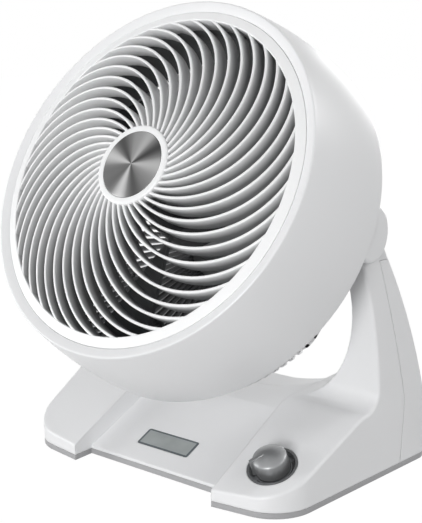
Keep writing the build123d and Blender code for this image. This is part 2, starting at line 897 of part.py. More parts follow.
def yoke_form(inset, arm_top):
    """Both arms: their front view drawn out along Y, cut to their side view."""
    with BuildPart() as yoke:
        with BuildSketch(front_plane.offset(-far / 2)):
            with BuildLine():
                edge = EllipticalCenterArc(
                    (pad_inner + inset, sweep_centre),
                    eye_inner - pad_inner,
                    arm_sweep_height + inset,
                    start_angle=-90,
                    arc_size=90,
                )
                Polyline(
                    edge @ 1,
                    (eye_inner + inset, arm_top),
                    (far / 2, arm_top),
                    (far / 2, shell_bottom),
                    ((edge @ 0).X, shell_bottom),
                    edge @ 0,
                )
            make_face()
            mirror(about=Plane.YZ)
        extrude(amount=far)
        with BuildSketch(side_plane.offset(-far / 2)):
            with BuildLine():
                front_edge = ThreePointArc(
                    (pivot_offset + arm_front_foot, pad_level + arm_foot_toe),
                    (pivot_offset + arm_front_mid, pivot_height - arm_front_mid_drop),
                    (pivot_offset + arm_front_top, pivot_height - arm_front_drop),
                )
                rear_edge = ThreePointArc(
                    (base_rear - rear_lean, pad_level),
                    (pivot_offset + arm_rear_mid, pivot_height - arm_rear_mid_drop),
                    (pivot_offset + arm_rear_top, pivot_height - arm_rear_top_drop),
                )
                Polyline(
                    front_edge @ 1,
                    (pivot_offset - eye_radius, pivot_height),
                    (pivot_offset + eye_radius, pivot_height),
                    rear_edge @ 1,
                )
                foot = front_edge @ 0
                foot_blend = ThreePointArc(
                    foot,
                    (
                        foot.X - arm_foot_toe * (1 - sqrt(0.5)),
                        foot.Y - arm_foot_toe * sqrt(0.5),
                    ),
                    (foot.X - arm_foot_toe, pad_level),
                )
                Polyline(
                    rear_edge @ 0,
                    ((rear_edge @ 0).X, shell_bottom),
                    (foot.X - arm_foot_toe, shell_bottom),
                    foot_blend @ 1,
                )
            make_face()
            if inset:
                offset(amount=-inset)
        extrude(amount=far, mode=Mode.INTERSECT)
        add(walled_block(inset), mode=Mode.INTERSECT)
        if not inset:
            creases = yoke.edges().filter_by(lambda edge: abs(edge.center().X) > eye_outer)
            creases = creases.filter_by(GeomType.ELLIPSE)
            fillet(creases.filter_by(lambda edge: edge.center().Y < pad_break + base_blend / 2), edge_round)
    return yoke.part


# ---------------------------------------------------------------- base: front and rear shells
arm_stop = pivot_height + eye_radius
cavity_stop = pivot_height - drum_radius - 2 * arm_front_drop / 3
pad_plane = Plane(
    origin=(knob_x, knob_y, pad_front_height + (knob_y - base_front) * pad_rise),
    x_dir=(1, 0, 0),
    z_dir=(0, -sin(radians(pad_slope)), cos(radians(pad_slope))),
)
label_plane = Plane(
    origin=(label_x, label_y, tray_front_height + (label_y - tray_front) * tray_rise),
    x_dir=(1, 0, 0),
    z_dir=(0, -sin(radians(tray_slope)), cos(radians(tray_slope))),
)
jack_nose = base_rear - rear_lean * jack_height / pad_level
jack_plane = Plane(origin=(jack_x, jack_nose, jack_height), x_dir=(1, 0, 0), z_dir=(0, 1, 0))
outer_form = base_form(0, arm_stop)

with BuildPart() as whole_shell:
    add(outer_form)
    add(base_form(shell_wall, cavity_stop), mode=Mode.SUBTRACT)
    with BuildPart(mode=Mode.PRIVATE) as posts:
        with BuildSketch(Plane.XY.offset(shell_bottom)):
            with Locations(*front_post_places, *rear_post_places):
                Circle(post_radius)
        extrude(amount=far)
        add(outer_form, mode=Mode.INTERSECT)
    add(posts.part)
    with BuildSketch(Plane.XY.offset(shell_bottom)):
        with Locations(*front_post_places, *rear_post_places):
            Circle(base_screw_radius + run_gap)
    extrude(amount=base_screw_length, mode=Mode.SUBTRACT)
    # the outer layer of each arm ends in a round notch under the drum, the inner one in an eye
    for side in (-1, 1):
        eye_plane = Plane(
            origin=(0, pivot_offset, pivot_height), x_dir=(0, 1, 0), z_dir=(side, 0, 0)
        )
        with BuildSketch(eye_plane.offset(eye_outer)):
            Circle(drum_radius + 2 * turn_gap)
        extrude(amount=eye_thickness, mode=Mode.SUBTRACT)
        with BuildSketch(eye_plane.offset(eye_inner)):
            Circle(eye_radius)
        extrude(amount=eye_thickness)
        with BuildSketch(eye_plane.offset(eye_inner)):
            Circle(bolt_radius + run_gap)
        extrude(amount=eye_thickness, mode=Mode.SUBTRACT)
    # recess for the label plate, well for the knob, hole for the power jack
    with BuildSketch(label_plane):
        RectangleRounded(label_length + 2 * fit_gap, label_width + 2 * fit_gap, 2)
    extrude(amount=label_proud - label_thickness, mode=Mode.SUBTRACT)
    with BuildSketch(pad_plane):
        Circle(well_radius)
    extrude(amount=2 * shell_wall, both=True, mode=Mode.SUBTRACT)
    with BuildSketch(jack_plane):
        Circle(jack_radius + fit_gap)
    extrude(amount=2 * shell_wall, both=True, mode=Mode.SUBTRACT)


def seam_region(shift):
    """Side view of everything in front of the seam, moved back by shift."""
    with BuildSketch(side_plane.offset(-far / 2)) as region:
        with BuildLine():
            seam = ThreePointArc(
                (pivot_offset + seam_foot + shift, pad_level),
                (pivot_offset + seam_mid + shift, pivot_height - seam_mid_drop),
                (pivot_offset + seam_top + shift, pivot_height - seam_top_drop - shift),
            )
            Polyline(
                seam @ 1,
                (far, pivot_height - seam_top_drop - shift),
                (far, far),
                (-far, far),
                (-far, -far),
                ((seam @ 0).X, -far),
                seam @ 0,
            )
        make_face()
    return region.sketch


with BuildPart() as base_shell:
    add(whole_shell.part)
    extrude(seam_region(0), amount=far, mode=Mode.INTERSECT)
save(base_shell.part, "base_shell")

with BuildPart() as rear_shell:
    add(whole_shell.part)
    extrude(seam_region(seam_gap), amount=far, mode=Mode.SUBTRACT)
save(rear_shell.part, "rear_shell")

# ---------------------------------------------------------------- bottom plate, feet, screws
board_places = [
    (board_x + x * (board_length / 2 - 4), board_y + y * (board_width / 2 - 4))
    for x in (-1, 1)
    for y in (-1, 1)
]
foot_recess = foot_thickness - foot_stand
with BuildPart() as bottom_plate:
    with BuildSketch(Plane.XY.offset(foot_stand)):
        add(base_outline())
        with Locations((0, base_front)):
            Rectangle(2 * pad_inner, 2 * (tray_front - base_front), mode=Mode.SUBTRACT)
    extrude(amount=plate_thickness - fit_gap / 2)
    with BuildSketch(Plane.XY.offset(shell_bottom - fit_gap)):
        with Locations(*board_places):
            Circle(3.5)
    extrude(amount=board_stand + fit_gap)
    with BuildSketch(Plane.XY.offset(shell_bottom + board_stand)):
        with Locations(*board_places):
            Circle(board_screw_radius + run_gap)
    extrude(amount=-board_screw_length, mode=Mode.SUBTRACT)
    with BuildSketch(Plane.XY.offset(foot_stand)):
        with Locations(*foot_places):
            Circle(foot_radius + fit_gap)
    extrude(amount=foot_recess, mode=Mode.SUBTRACT)
    with BuildSketch(Plane.XY.offset(foot_stand)):
        with Locations(*front_post_places, *rear_post_places):
            Circle(2 * base_screw_radius + fit_gap)
    extrude(amount=screw_head_height, mode=Mode.SUBTRACT)
    with BuildSketch(Plane.XY.offset(foot_stand)):
        with Locations(*front_post_places, *rear_post_places):
            Circle(base_screw_radius + run_gap)
    extrude(amount=plate_thickness, mode=Mode.SUBTRACT)
save(bottom_plate.part, "bottom_plate")

with BuildPart() as rubber_feet:
    with BuildSketch():
        with Locations(*foot_places):
            Circle(foot_radius)
    extrude(amount=foot_thickness)
    chamfer(rubber_feet.edges().group_by(Axis.Z)[0], 0.6)
save(rubber_feet.part, "rubber_feet")

with BuildPart() as base_screws:
    with BuildSketch(Plane.XY.offset(foot_stand + fit_gap)):
        with Locations(*front_post_places, *rear_post_places):
            Circle(2 * base_screw_radius)
    extrude(amount=screw_head_height - fit_gap)
    with BuildSketch(Plane.XY.offset(foot_stand + fit_gap)):
        with Locations(*front_post_places, *rear_post_places):
            Circle(base_screw_radius)
    extrude(amount=base_screw_length)
save(base_screws.part, "base_screws")

# ---------------------------------------------------------------- knob, bezel, potentiometer
bezel_radius = well_radius - fit_gap
floor_top = bezel_floor - well_depth
with BuildPart() as knob_bezel:
    with BuildSketch(pad_plane.offset(-well_depth)):
        Circle(bezel_radius)
    extrude(amount=well_depth)
    with BuildSketch(pad_plane.offset(-shell_wall - fit_gap)):
        Circle(bezel_radius + bezel_flange)
    extrude(amount=shell_wall + fit_gap - well_depth)
    with BuildSketch(pad_plane):
        Circle(bezel_radius - bezel_wall)
    extrude(amount=floor_top, mode=Mode.SUBTRACT)
    with BuildSketch(pad_plane):
        Circle(pot_bush_radius + fit_gap)
    extrude(amount=-well_depth, mode=Mode.SUBTRACT)
save(knob_bezel.part, "knob_bezel")

pot_top = -well_depth - fit_gap
with BuildPart() as potentiometer:
    with BuildSketch(pad_plane.offset(pot_top)):
        RectangleRounded(pot_size, pot_size, 2)
    extrude(amount=-pot_height)
    with BuildSketch(pad_plane.offset(pot_top)):
        Circle(pot_bush_radius)
    extrude(amount=bezel_floor + 2 * fit_gap)
    with BuildSketch(pad_plane.offset(pot_top + bezel_floor + 2 * fit_gap)):
        Circle(pot_shaft_radius + run_gap)
    extrude(amount=-bezel_floor - pot_height / 2, mode=Mode.SUBTRACT)
save(potentiometer.part, "potentiometer")

pot_shaft_base = pot_top - pot_height / 2 + 2 * fit_gap + turn_gap
with BuildPart() as pot_shaft:
    with BuildSketch(pad_plane.offset(pot_shaft_base)):
        Circle(pot_shaft_radius)
    extrude(amount=pot_shaft_reach - pot_shaft_base)
save(pot_shaft.part, "pot_shaft")

pointer_dir = pad_plane.x_dir * cos(radians(pointer_angle)) + pad_plane.y_dir * sin(
    radians(pointer_angle)
)
pointer_plane = Plane(
    origin=pad_plane.origin, x_dir=pointer_dir, z_dir=pointer_dir.cross(pad_plane.z_dir)
)
with BuildPart() as control_knob:
    with BuildSketch(pointer_plane):
        with BuildLine():
            crown = ThreePointArc(
                (-knob_radius, knob_shoulder), (0, knob_height), (knob_radius, knob_shoulder)
            )
            Polyline(
                crown @ 1, (knob_radius, -knob_sink), (-knob_radius, -knob_sink), crown @ 0
            )
        make_face()
        with Locations((-knob_radius, 0)):
            Rectangle(2 * knob_radius, far, mode=Mode.SUBTRACT)
    revolve(axis=Axis(pad_plane.origin, pad_plane.z_dir))
    shoulders = control_knob.edges().filter_by(GeomType.CIRCLE).filter_by(
        lambda edge: abs(edge.radius - knob_radius) < fit_gap
    )
    fillet(shoulders.sort_by(Axis(pad_plane.origin, pad_plane.z_dir))[-1], knob_round)
    with BuildSketch(pointer_plane):
        with BuildLine():
            Polyline(
                (pointer_start, -knob_sink),
                (pointer_start, pointer_crest),
                (pointer_reach, pointer_nose),
                (pointer_reach, -knob_sink),
                close=True,
            )
        make_face()
    extrude(amount=pointer_width / 2, both=True)
    with BuildSketch(pad_plane.offset(-knob_sink)):
        Circle(pot_shaft_radius + run_gap)
    extrude(amount=knob_sink + pot_shaft_reach, mode=Mode.SUBTRACT)
save(control_knob.part, "control_knob")

# ---------------------------------------------------------------- label plate
with BuildPart() as label_plate:
    with BuildSketch(label_plane.offset(label_proud)):
        RectangleRounded(label_length, label_width, 1.8)
    extrude(amount=-label_thickness)
save(label_plate.part, "label_plate")

# ---------------------------------------------------------------- control board, jack, lead
board_base = shell_bottom + board_stand
board_top = board_base + board_thickness
with BuildPart() as control_board:
    with BuildSketch(Plane.XY.offset(board_base)):
        with Locations((board_x, board_y)):
            Rectangle(board_length, board_width)
        with Locations(*board_places):
            Circle(board_screw_radius + fit_gap, mode=Mode.SUBTRACT)
    extrude(amount=board_thickness)
    with BuildSketch(Plane.XY.offset(board_top)):
        with Locations((board_x - board_length / 2 + 6, board_y)):
            Rectangle(8, 16)
        with Locations((board_x + 4, board_y + 6)):
            Rectangle(14, 14)
    extrude(amount=6)
    with BuildSketch(Plane.XY.offset(board_top)):
        with Locations((board_x + 22, board_y - 6), (board_x + 22, board_y + 8)):
            Circle(5)
    extrude(amount=10)
save(control_board.part, "control_board")

with BuildPart() as board_screws:
    with BuildSketch(Plane.XY.offset(board_top)):
        with Locations(*board_places):
            Circle(2 * board_screw_radius)
    extrude(amount=screw_head_height)
    with BuildSketch(Plane.XY.offset(board_top)):
        with Locations(*board_places):
            Circle(board_screw_radius)
    extrude(amount=-board_screw_length)
save(board_screws.part, "board_screws")

jack_back = -shell_wall - 2 * fit_gap - rear_lean * jack_radius * 2 / pad_level
with BuildPart() as power_jack:
    with BuildSketch(jack_plane.offset(jack_back)):
        Rectangle(2 * jack_radius + 3, 2 * jack_radius + 3)
    extrude(amount=-jack_length)
    with BuildSketch(jack_plane.offset(jack_back)):
        Circle(jack_radius)
    extrude(amount=-jack_back)
    with BuildSketch(jack_plane):
        Circle(jack_bore)
        Circle(1, mode=Mode.SUBTRACT)
    extrude(amount=jack_back - jack_length / 2, mode=Mode.SUBTRACT)
save(power_jack.part, "power_jack")

lead_start = (board_x - board_length / 2 + 2, board_y, board_top + 4)
lead_route = [
    lead_start,
    (lead_start[0] - 34, board_y, board_top + 4),
    (lead_start[0] - 72, board_y + 22, board_top + 16),
    (lead_clearance - base_half_width, board_y + 42, pad_level + 18),
    (lead_radius - eye_outer, board_y + 30, pad_level + 54),
    (lead_radius - eye_outer, board_y + 14, pad_level + 90),
]
with BuildPart() as motor_lead:
    with BuildLine() as lead_path:
        FilletPolyline(*lead_route, radius=14)
    with BuildSketch(Plane(origin=lead_path.line @ 0, z_dir=lead_path.line % 0)):
        Circle(lead_radius)
    sweep()
save(motor_lead.part, "motor_lead")
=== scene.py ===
import json
import math

import bmesh
import bpy
from mathutils import Matrix, Vector


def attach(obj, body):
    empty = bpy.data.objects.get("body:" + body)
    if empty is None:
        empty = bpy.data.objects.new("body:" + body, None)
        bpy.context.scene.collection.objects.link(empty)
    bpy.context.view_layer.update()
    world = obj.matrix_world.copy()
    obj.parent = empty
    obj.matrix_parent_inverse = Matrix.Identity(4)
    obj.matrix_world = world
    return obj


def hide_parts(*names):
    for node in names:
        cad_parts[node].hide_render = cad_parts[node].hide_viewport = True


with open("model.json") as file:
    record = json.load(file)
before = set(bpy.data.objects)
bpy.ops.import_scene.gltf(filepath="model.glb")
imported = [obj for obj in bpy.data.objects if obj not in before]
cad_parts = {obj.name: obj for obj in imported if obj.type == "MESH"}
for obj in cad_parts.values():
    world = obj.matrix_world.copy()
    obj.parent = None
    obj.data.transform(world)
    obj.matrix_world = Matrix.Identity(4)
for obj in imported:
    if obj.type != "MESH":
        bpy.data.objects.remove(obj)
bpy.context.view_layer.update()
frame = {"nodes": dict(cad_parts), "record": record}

# ---------------------------------------------------------------- bottom plate and feet
# A flat grey moulding that closes the base from below. Four rubber pads are glued under it
# and six zinc plated screws hold it to the two white shells.
mm = 0.001
merge = 0.001 * mm  # points closer than this are one
dress_crease = 32.0  # degrees between two faces, past which their edge stays sharp
coat_roughness = 0.25
flow_spread = 0.10  # how far the flow marks move a moulding's roughness


class Wire:
    """An output in a node tree that takes part in sums, such as 1 - mask or mask * 0.2."""

    def __init__(self, web, socket):
        self.web, self.socket = web, socket

    def sum(self, operation, first, second=0.0):
        return self.web.add("ShaderNodeMath", {"operation": operation}, {0: first, 1: second})

    def __add__(self, other):
        return self.sum("ADD", self, other)

    def __sub__(self, other):
        return self.sum("SUBTRACT", self, other)

    def __rsub__(self, other):
        return self.sum("SUBTRACT", other, self)

    def __mul__(self, other):
        return self.sum("MULTIPLY", self, other)

    def __truediv__(self, other):
        return self.sum("DIVIDE", self, other)

    def __pow__(self, other):
        return self.sum("POWER", self, other)

    def __lt__(self, other):
        return self.sum("LESS_THAN", self, other)

    def __gt__(self, other):
        return self.sum("GREATER_THAN", self, other)

    __radd__ = __add__
    __rmul__ = __mul__

    def root(self):
        return self.sum("SQRT", self)

    def cosine(self):
        return self.sum("COSINE", self)

    def clamped(self):
        return self.web.add("ShaderNodeClamp", values={0: self})

    def within(self, low, high):
        return (self > low) * (self < high)

    def distance(self, other):
        """How far a point lies from the origin, where this is its x and the other its y."""
        return (self * self + other * other).root()

    def polar(self, other):
        """Radius and angle of a point, where this is its x and the other its y."""
        return self.distance(other), self.sum("ARCTAN2", other, self)

    def beside(self, name):
        """Another output of the node that this one comes from."""
        return Wire(self.web, self.socket.node.outputs[name])


class Web:
    """A node tree, of a material or of geometry, that grows by one call a node."""

    def __init__(self, tree):
        self.tree = tree
        tree.nodes.clear()

    def add(self, kind, settings=None, values=None, output=0):
        node = self.tree.nodes.new(kind)
        for key, value in (settings or {}).items():
            if key == "stops":
                ramp = node.color_ramp
                while len(ramp.elements) < len(value):
                    ramp.elements.new(0.5)
                for element, (spot, shade) in zip(ramp.elements, value):
                    element.position, element.color = spot, shade
            else:
                setattr(node, key, value)
        for key, value in (values or {}).items():
            if isinstance(value, Wire):
                self.tree.links.new(value.socket, node.inputs[key])
            else:
                node.inputs[key].default_value = value
        return Wire(self, node.outputs[output]) if node.outputs else node


class Finish(Web):
    """A surface of this fan. Its patterns are laid out in the piece's own space."""

    def __init__(self, name, **sockets):
        self.material = bpy.data.materials.new(name)
        self.material.use_nodes = True
        super().__init__(self.material.node_tree)
        self.place = self.add("ShaderNodeTexCoord", output="Object")
        self.fixed = sockets

    def noise(self, scale, detail=2.0, roughness=0.5):
        values = {"Vector": self.place, "Scale": scale, "Detail": detail, "Roughness": roughness}
        return self.add("ShaderNodeTexNoise", values=values)

    def mix(self, factor, first, second):
        values = {0: factor, 6: first, 7: second}
        return self.add("ShaderNodeMix", {"data_type": "RGBA"}, values, 2)

    def ramp(self, factor, *stops):
        return self.add("ShaderNodeValToRGB", {"stops": stops}, {0: factor})

    def bump(self, height, strength, distance, normal=None):
        values = {"Strength": strength, "Distance": distance, "Height": height}
        if normal:
            values["Normal"] = normal
        return self.add("ShaderNodeBump", values=values)

    def soft_edges(self, radius):
        return self.add("ShaderNodeBevel", {"samples": 6}, {"Radius": radius})

    def flow(self):
        """Slow flow marks of a moulding."""
        return self.noise(9.0, 3.0)

    def grain(self, scale, depth, edge=0.0):
        """Fine spark-eroded grain of a mould, over edges that are softened to this radius."""
        return self.bump(self.noise(scale, 1.0), 0.35, depth, self.soft_edges(edge) if edge else None)

    def inlaid(self, place):
        """Distances along the three axes of a plane that lies in the piece."""
        turn = {"Vector": self.place, "Location": place.to_translation(), "Rotation": place.to_euler()}
        local = self.add("ShaderNodeMapping", {"vector_type": "TEXTURE"}, turn)
        split = self.add("ShaderNodeSeparateXYZ", values={0: local})
        return [split.beside(axis) for axis in "XYZ"]

    def done(self, **sockets):
        values = {key.replace("_", " "): value for key, value in {**self.fixed, **sockets}.items()}
        shader = self.add("ShaderNodeBsdfPrincipled", values=values)
        self.add("ShaderNodeOutputMaterial", values={"Surface": shader})
        return self.material


def moulding(name, colour, roughness, grain_scale, grain_depth, shift=0.03, coat=0.0, edge=0.0):
    """Injection moulded plastic, whose flow marks darken its colour by up to the share shift."""
    finish = Finish(name, Coat_Weight=coat, Coat_Roughness=coat_roughness)
    flow = finish.flow()
    dark = [part * (1 - shift) for part in colour]
    return finish.done(
        Base_Color=finish.mix(flow, (*colour, 1.0), (*dark, 1.0)),
        Roughness=roughness + (flow - 0.5) * flow_spread,
        Normal=finish.grain(grain_scale, grain_depth, edge),
    )


def drawn_metal(name, colour, roughness, scale=400.0):
    """Turned or plated metal with faint marks of the tool."""
    finish = Finish(name, Metallic=1.0)
    marks = finish.noise(scale, 4.0, 0.7)
    dark = [part * 0.8 for part in colour]
    return finish.done(
        Base_Color=finish.mix(marks, (*colour, 1.0), (*dark, 1.0)),
        Roughness=roughness + (marks - 0.5) * 0.2,
        Normal=finish.bump(marks, 0.2, 0.05 * mm),
    )


def placed(name, data):
    """An object of this data, in the scene."""
    thing = bpy.data.objects.new(name, data)
    bpy.context.scene.collection.objects.link(thing)
    return thing


def as_mesh(shape, name):
    mesh = bpy.data.meshes.new(name)
    shape.to_mesh(mesh)
    shape.free()
    return mesh


def smoothed(shape, name, crease):
    """Let a shape shade as curves up to its creases, and return it as a mesh."""
    for face in shape.faces:
        face.smooth = True
    for edge in shape.edges:
        edge.smooth = edge.is_manifold and edge.calc_face_angle() < math.radians(crease)
    return as_mesh(shape, name)


def settle(name, mesh, material, node):
    """Put a mesh in the scene as the piece that stands for a CAD node."""
    piece = placed(name, mesh)
    mesh.materials.clear()
    mesh.materials.append(material)
    bodies, parts = frame["record"]["behaviour"]["bodies"], frame["record"]["subparts"]
    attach(piece, next(body for body, names in bodies.items() if node in names))
    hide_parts(node)


def dress(node, material, reshape=None):
    """Give a CAD node its finish: on a copy with merged points and smooth curves."""
    shape = bmesh.new()
    shape.from_mesh(frame["nodes"][node].data)
    bmesh.ops.remove_doubles(shape, verts=shape.verts, dist=merge)
    if reshape:
        reshape(shape)
    settle(node + "_skin", smoothed(shape, node + "_skin", dress_crease), material, node)


plate_grey = moulding("grey_plate", (0.40, 0.40, 0.41), 0.5, 900, 0.10 * mm, edge=1.0 * mm)
foot_black = moulding("foot_rubber", (0.030, 0.030, 0.032), 0.8, 500, 0.15 * mm, shift=0.2)
zinc = drawn_metal("zinc_screw", (0.62, 0.62, 0.60), 0.35)
dress("bottom_plate", plate_grey)
dress("rubber_feet", foot_black)
for screws in ("base_screws", "board_screws", "housing_screws", "motor_screws"):
    dress(screws, zinc)

# ---------------------------------------------------------------- white shells of the base
# Two satin white mouldings, joined along a fine seam that runs down the arms: the front one
# holds the pads, the sloping tray and the eyes, the rear one closes the arms and the hump.
foot_front, foot_side, foot_low, foot_high = 31.0 * mm, 69 * mm, 50 * mm, 66 * mm
foot_step, foot_reach = 0.44 * mm, 12.0 * mm  # height of the step, and how far back it is eased
straight_low = 58.05 * mm  # above this height the foot's front edge is straight
hair, gap = 0.01 * mm, 0.05 * mm  # tolerance of a place, and of points that are made one


def eased_feet(shape):
    """Let the arms' feet run into the pads, where the solid ends in a fine step."""
    ahead = set()
    for face in shape.faces:
        if face.calc_center_median().y < foot_front - hair:
            ahead.update(face.verts)
    foot = [
        vert
        for vert in shape.verts
        if abs(vert.co.x) > foot_side
        and foot_low < vert.co.z < foot_high
        and foot_front - hair < vert.co.y < foot_front + foot_reach
    ]
    for vert in foot:
        if vert not in ahead:
            vert.co.z -= foot_step * min(1 - (vert.co.y - foot_front) / foot_reach, 1)
    edge = [vert for vert in foot if vert.co.y < foot_front + hair and vert.co.z > straight_low]
    bmesh.ops.remove_doubles(shape, verts=edge, dist=gap)


shell_colour = (0.86, 0.865, 0.875)
shell_white = moulding(
    "base_white", shell_colour, 0.42, 1400, 0.04 * mm, shift=0.015, coat=0.15, edge=1.6 * mm
)
dress("base_shell", shell_white, eased_feet)
dress("rear_shell", shell_white)

# ---------------------------------------------------------------- electrics inside the base
# A green lacquered circuit board, held by four screws, the black speed potentiometer under the
# knob, the black socket for the supply at the back, and the black lead to the motor.
board_green = moulding("board_lacquer", (0.03, 0.16, 0.07), 0.4, 300, 0.10 * mm, shift=0.3)
black_part = moulding("black_part", (0.022, 0.022, 0.024), 0.45, 800, 0.08 * mm, shift=0.2)
dress("control_board", board_green)
for part in ("potentiometer", "pot_shaft", "power_jack", "motor_lead"):
    dress(part, black_part)

# ---------------------------------------------------------------- label plate
# A thin plastic plate let into the sloping tray. Its face is plain: a cool grey field, slightly
# clouded, in a darker frame.
label_middle, label_slope = Vector((-7.6, -24.4, 17.8)) * mm, math.radians(22)
half_width, half_depth = 24.2 * mm, 7.4 * mm
frame_grey, field_dark, field_pale = (0.10, 0.12, 0.13, 1), (0.25, 0.27, 0.27, 1), (0.43, 0.46, 0.46, 1)


def sloping(middle, slope):
    """Place of a plane that is turned up round the x axis by this slope."""
    return Matrix.Translation(middle) @ Matrix.Rotation(slope, 4, "X")


label = Finish("label_print", Roughness=0.35)
across, along, _ = label.inlaid(sloping(label_middle, label_slope))
field = across.within(-half_width, half_width) * along.within(-half_depth, half_depth)
tint = label.ramp(label.noise(60.0, 3.0), (0.0, field_dark), (1.0, field_pale))
dress("label_plate", label.done(Base_Color=label.mix(field, frame_grey, tint)))

# ---------------------------------------------------------------- knob and its ring
# Mouldings in silver lacquer: the speed knob with its thin pointer, pushed on the potentiometer's
# shaft, and a ring let into the right pad, with a dark window on its right and one dark tick.
knob_middle, pad_slope = Vector((100.4, -34.2, 29.5)) * mm, math.radians(25)
window_inner, window_outer = 14.2 * mm, 16.9 * mm
window_start, window_end = math.radians(-35), math.radians(50)
tick_inner, tick_outer = 14.4 * mm, 15.9 * mm
tick_start, tick_end = math.radians(-111), math.radians(-99)
speck_scale, speck_depth, lacquer_coat = 2500.0, 0.02 * mm, 0.2

ring = Finish("ring_lacquer", Coat_Roughness=lacquer_coat)
across, along, _ = ring.inlaid(sloping(knob_middle, pad_slope))
radius, angle = across.polar(along)
window = radius.within(window_inner, window_outer) * angle.within(window_start, window_end)
tick = radius.within(tick_inner, tick_outer) * angle.within(tick_start, tick_end)
dark = window.sum("MAXIMUM", window, tick)
speck = ring.noise(speck_scale, 1.0)
ring_silver = ring.done(
    Base_Color=ring.mix(dark, (0.20, 0.205, 0.21, 1), (0.010, 0.010, 0.012, 1)),
    Roughness=0.34 + (speck - 0.5) * 0.1 - window * 0.2,
    Metallic=0.6 - dark * 0.6,
    Coat_Weight=window * 0.6,
    Normal=ring.bump(speck, 0.25, speck_depth),
)
knob = Finish("knob_lacquer", Coat_Roughness=lacquer_coat, Coat_Weight=0.3, Metallic=0.75)
speck = knob.noise(speck_scale, 1.0)
knob_silver = knob.done(
    Base_Color=knob.mix(speck, (0.30, 0.305, 0.31, 1), (0.26, 0.265, 0.27, 1)),
    Roughness=0.40 + (speck - 0.5) * 0.08,
    Normal=knob.bump(speck, 0.2, speck_depth, knob.soft_edges(0.4 * mm)),
)
dress("knob_bezel", ring_silver)
dress("control_knob", knob_silver)

# ---------------------------------------------------------------- motor
# A closed can of plated steel, screwed to the rear grille's middle. In it are the plain bearings,
# the stator with its copper windings, and the magnet on the shaft.
motor_plate = drawn_metal("motor_plate", (0.45, 0.45, 0.46), 0.4)
copper = drawn_metal("winding_copper", (0.55, 0.24, 0.10), 0.35, 900)
magnet = moulding("magnet_grey", (0.05, 0.05, 0.055), 0.5, 600, 0.10 * mm, shift=0.2)
for part in ("motor_can", "motor_end_cap", "front_bearing", "rear_bearing", "motor_shaft", "stator_core"):
    dress(part, motor_plate)
dress("stator_coils", copper)
dress("rotor_magnet", magnet)

# ---------------------------------------------------------------- propeller
# Three broad blades and a hub, moulded in one in dark grey plastic and held on the motor's shaft
# by a black nut.
prop_grey = moulding("propeller_grey", (0.045, 0.047, 0.050), 0.42, 700, 0.08 * mm, shift=0.2)
dress("propeller", prop_grey)
dress("propeller_nut", black_part)

# ---------------------------------------------------------------- inner duct
# A grey plastic tube round the propeller, moulded in one with the baffle that meets the housing.
duct_grey = moulding("duct_grey", (0.23, 0.235, 0.24), 0.5, 900, 0.08 * mm, shift=0.04)
dress("inner_duct", duct_grey)

# ---------------------------------------------------------------- duct housing
# The big white moulding of the head: a flank that bows out between the skirt and the rim, a front
# lip that falls inwards, and on each side a drum that turns over the arm's eye.
pivot, tilt = Vector((0, 16.3, 198.7)) * mm, math.radians(28.6)
head_place = sloping(pivot, math.pi / 2 - tilt)
skirt_radius, skirt_depth = 152 * mm, 3.5 * mm
rim_radius, rim_depth = 140 * mm, 85.5 * mm
swell, flank_steps, wall = 2.6 * mm, 20, 2.6 * mm
lip_radius, lip_drop, lip_wall = 132.6 * mm, 2.9 * mm, 2.2 * mm
drum_radius, drum_foot, drum_face = 21 * mm, 139.8 * mm, 151 * mm
own_crease = 35.0  # as dress_crease, on shapes that are made in this script


def eased(corners, parts=5):
    """Corner points (r, z, radius) as a line whose corners are round."""
    line = []
    for index, (r, z, radius) in enumerate(corners):
        here = Vector((r, z))
        if not radius:
            line.append(here)
            continue
        before = (Vector(corners[index - 1][:2]) - here).normalized()
        after = (Vector(corners[(index + 1) % len(corners)][:2]) - here).normalized()
        half = before.angle(after) / 2
        run = radius / math.tan(half)
        middle = here + (before + after).normalized() * radius / math.sin(half)
        start = (here + before * run - middle).normalized()
        end = (here + after * run - middle).normalized()
        line += [middle + start.slerp(end, part / parts) * radius for part in range(parts + 1)]
    return line


def turned(shape, line, place, count, closed=True):
    """Turn a line of (r, z) points round the z axis of place, in this count of steps."""
    rings = []
    for step in range(count):
        angle = 2 * math.pi * step / count
        spin = (math.cos(angle), math.sin(angle))
        rings.append([shape.verts.new(place @ Vector((r * spin[0], r * spin[1], z))) for r, z in line])
    length = len(line)
    for step in range(count):
        one, two = rings[step], rings[(step + 1) % count]
        for spot in range(length if closed else length - 1):
            after = (spot + 1) % length
            shape.faces.new((one[spot], two[spot], two[after], one[after]))


def finished(shape, name):
    """Merge and smooth a shape of this script, faces outwards, and return it as a mesh."""
    bmesh.ops.remove_doubles(shape, verts=shape.verts, dist=merge)
    bmesh.ops.recalc_face_normals(shape, faces=shape.faces)
    return smoothed(shape, name, own_crease)


def flank(share):
    """Point of the bowed flank: at the skirt for share 0, at the rim for share 1."""
    radius = skirt_radius + share * (rim_radius - skirt_radius) + 4 * swell * share * (1 - share)
    return radius, skirt_depth + share * (rim_depth - skirt_depth)


